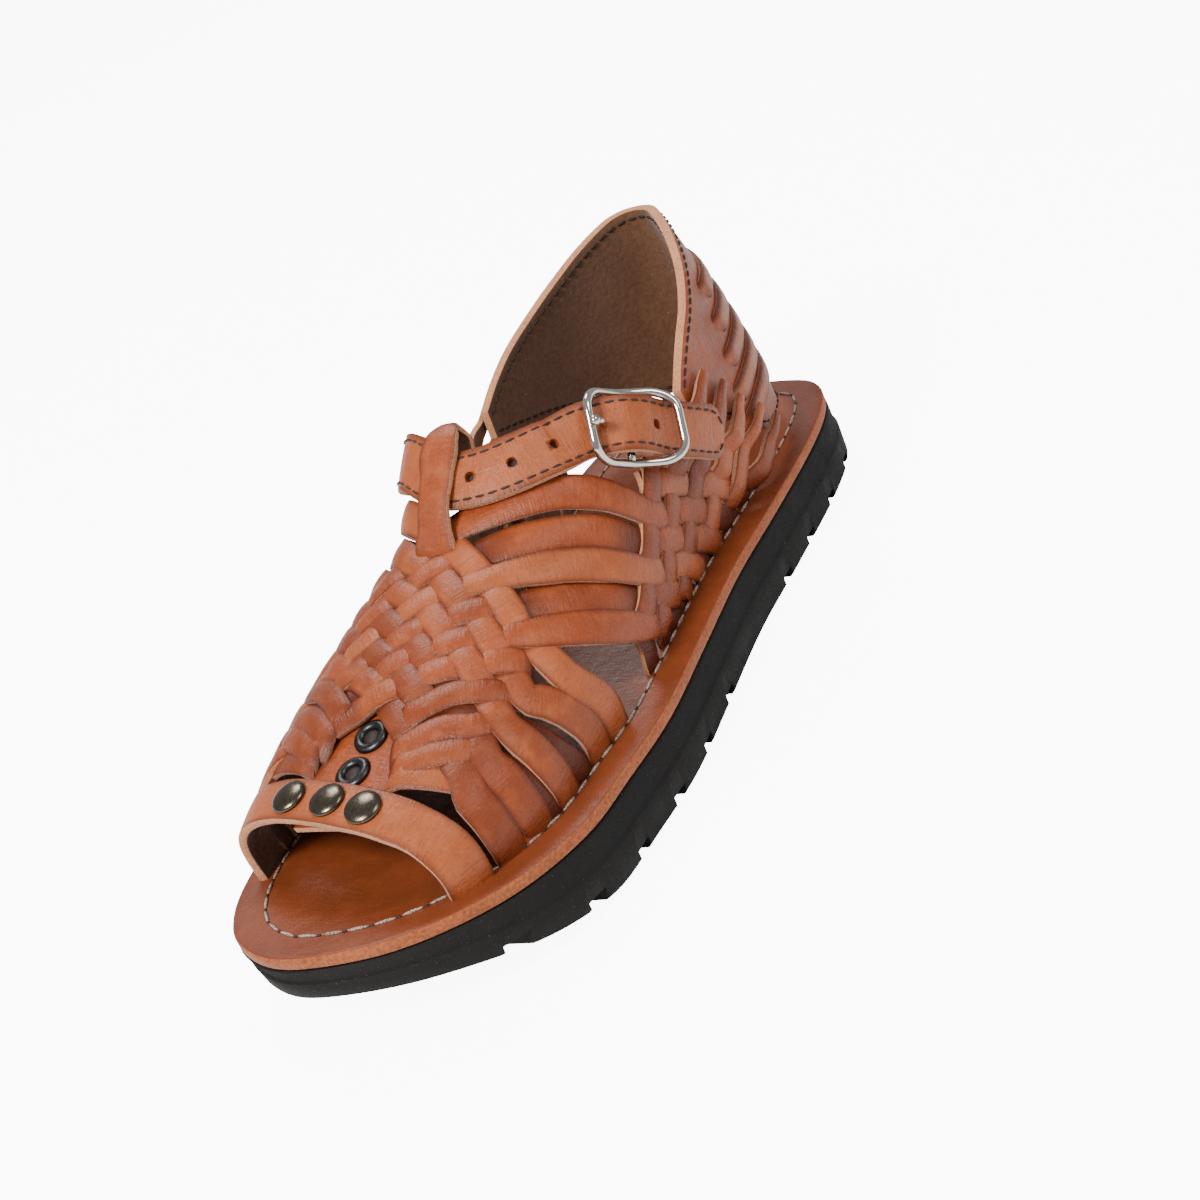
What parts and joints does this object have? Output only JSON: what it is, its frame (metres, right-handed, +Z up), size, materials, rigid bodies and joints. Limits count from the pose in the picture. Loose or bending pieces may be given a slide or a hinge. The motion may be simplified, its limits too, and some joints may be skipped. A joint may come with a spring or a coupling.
{
  "type": "huarache sandal",
  "caption": "Left woven leather huarache sandal with a closed heel counter, buckled ankle strap, toe band, leather insole and lugged rubber sole.",
  "frame": {"origin": "middle of the outsole's box, on the floor plane of the tread", "axes": "+Z up, toe towards -Y, lateral (buckle) side towards +X"},
  "size_m": [0.107, 0.2892, 0.1016],
  "materials": {
    "outsole": "matte black",
    "insole": "smooth tan",
    "upper": "waxed tan",
    "counter": "waxed tan, suede inside",
    "strap": "waxed tan",
    "buckle": "polished nickel",
    "rivet": "antique brass",
    "eyelet": "gunmetal"
  },
  "bodies": {
    "root": {"outsole": "outsole", "insole": "insole", "upper": "upper", "toe_band": "upper", "tongue": "upper", "heel_counter": "counter", "ankle_strap": "strap", "buckle_carrier": "strap", "buckle_frame": "buckle", "buckle_prong": "buckle", "rivet_1": "rivet", "rivet_2": "rivet", "rivet_3": "rivet", "eyelet_1": "eyelet", "eyelet_2": "eyelet"}
  },
  "joints": []
}
